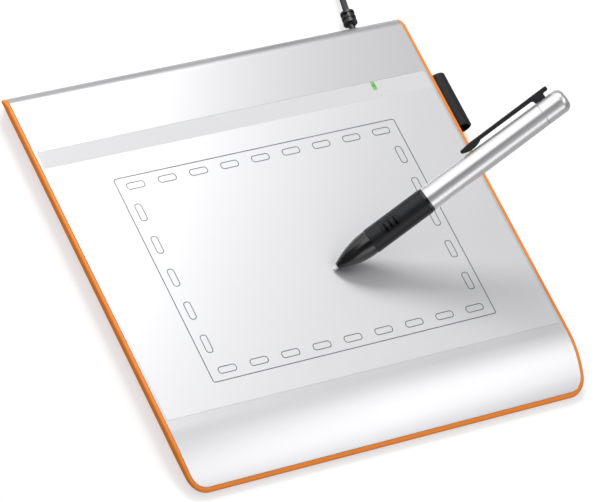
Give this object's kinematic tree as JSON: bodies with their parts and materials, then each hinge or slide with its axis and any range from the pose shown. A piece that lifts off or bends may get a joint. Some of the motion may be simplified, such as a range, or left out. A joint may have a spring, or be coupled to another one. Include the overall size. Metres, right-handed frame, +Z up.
{
  "type": "graphics tablet",
  "caption": "Slim desktop graphics tablet with a rolled back edge, sloping palm rest, bright rim, pen loop, corded plug and a cordless battery pen with nib, side switch, cap and clip.",
  "frame": {"origin": "middle of the case's footprint, on the plane of the feet: the underside of the centre foot", "axes": "+Z up, +Y to the back edge where the lead leaves, +X to the side that carries the pen loop"},
  "size_m": [0.2069, 0.2801, 0.0844],
  "materials": {
    "silver_shell": "satin metallic paint",
    "orange_shell": "satin moulded",
    "drawing_film": "fine matt film, grey print on the back",
    "green_lens": "clear, lit",
    "webbing": "close elastic weave",
    "steel": "bright zinc",
    "foot_rubber": "matt",
    "plate": "plain, bare",
    "green_board": "solder mask",
    "clear_sheet": "thin film",
    "tinned_steel": "plated sheet",
    "black_package": "moulded",
    "white_plastic": "moulded",
    "lead_jacket": "matt extruded",
    "relief_rubber": "satin moulded",
    "gold_contacts": "gold plated",
    "gloss_black": "high gloss",
    "grip_rubber": "soft matt",
    "silver_pen": "bright satin silver",
    "nib_plastic": "smooth",
    "ferrite": "sintered",
    "copper_wire": "lacquered wire",
    "battery_jacket": "plain wrapped",
    "seal_rubber": "smooth"
  },
  "bodies": {
    "tablet": {"top_cover": "silver_shell", "bottom_case": "orange_shell", "drawing_sheet": "drawing_film", "light_pipe": "green_lens", "pen_loop": "webbing", "loop_anchor": "steel", "rubber_feet": "foot_rubber", "case_screws": "steel", "rating_label": "plate", "sensor_board": "green_board", "insulating_sheet": "clear_sheet", "shield_plate": "tinned_steel", "main_board": "green_board", "controller_chip": "black_package", "crystal": "tinned_steel", "status_led": "white_plastic", "board_header": "black_package", "board_socket": "white_plastic", "inner_lead": "lead_jacket", "strain_relief": "relief_rubber", "lead_clamp": "black_package", "clamp_screws": "steel", "usb_lead": "lead_jacket", "lead_coil": "lead_jacket", "lead_tie": "webbing", "lead_tail": "lead_jacket", "plug_overmould": "relief_rubber", "plug_shell": "tinned_steel", "plug_tongue": "white_plastic", "plug_contacts": "gold_contacts"},
    "pen": {"pen_nose": "gloss_black", "pen_grip": "grip_rubber", "pen_barrel": "silver_pen", "ferrite_core": "ferrite", "pickup_coil": "copper_wire", "pressure_sensor": "black_package", "pen_board": "green_board", "tact_switches": "black_package", "front_contact": "tinned_steel", "battery": "battery_jacket"},
    "nib": {"nib": "nib_plastic", "nib_holder": "black_package"},
    "side_switch": {"side_switch": "grip_rubber"},
    "pen_cap": {"pen_cap": "silver_pen", "cap_seal": "seal_rubber", "battery_spring": "steel"},
    "pen_clip": {"pen_clip": "gloss_black"}
  },
  "joints": [
    {"name": "pen_lift", "type": "slide", "parent": "tablet", "child": "pen", "axis": [0, 0, 1], "range_m": [0, 0.1]},
    {"name": "nib_press", "type": "slide", "parent": "pen", "child": "nib", "axis": [0.795, 0.1502, 0.5878], "range_m": [0, 0.0006], "stiffness_N_per_m": 5000},
    {"name": "switch_rock", "type": "hinge", "parent": "pen", "child": "side_switch", "pos_m": [0.02898, -0.01341, 0.03134], "axis": [0.2343, -0.9697, -0.0691], "range_deg": [-5, 5], "stiffness_Nm_per_rad": 0.14},
    {"name": "cap_pull", "type": "slide", "parent": "pen", "child": "pen_cap", "axis": [0.795, 0.1502, 0.5878], "range_m": [0, 0.02]},
    {"name": "clip_flex", "type": "hinge", "parent": "pen_cap", "child": "pen_clip", "pos_m": [0.09371, 0.00421, 0.07718], "axis": [0.4986, 0.3901, -0.7741], "range_deg": [0, 3.5], "stiffness_Nm_per_rad": 1.7}
  ]
}
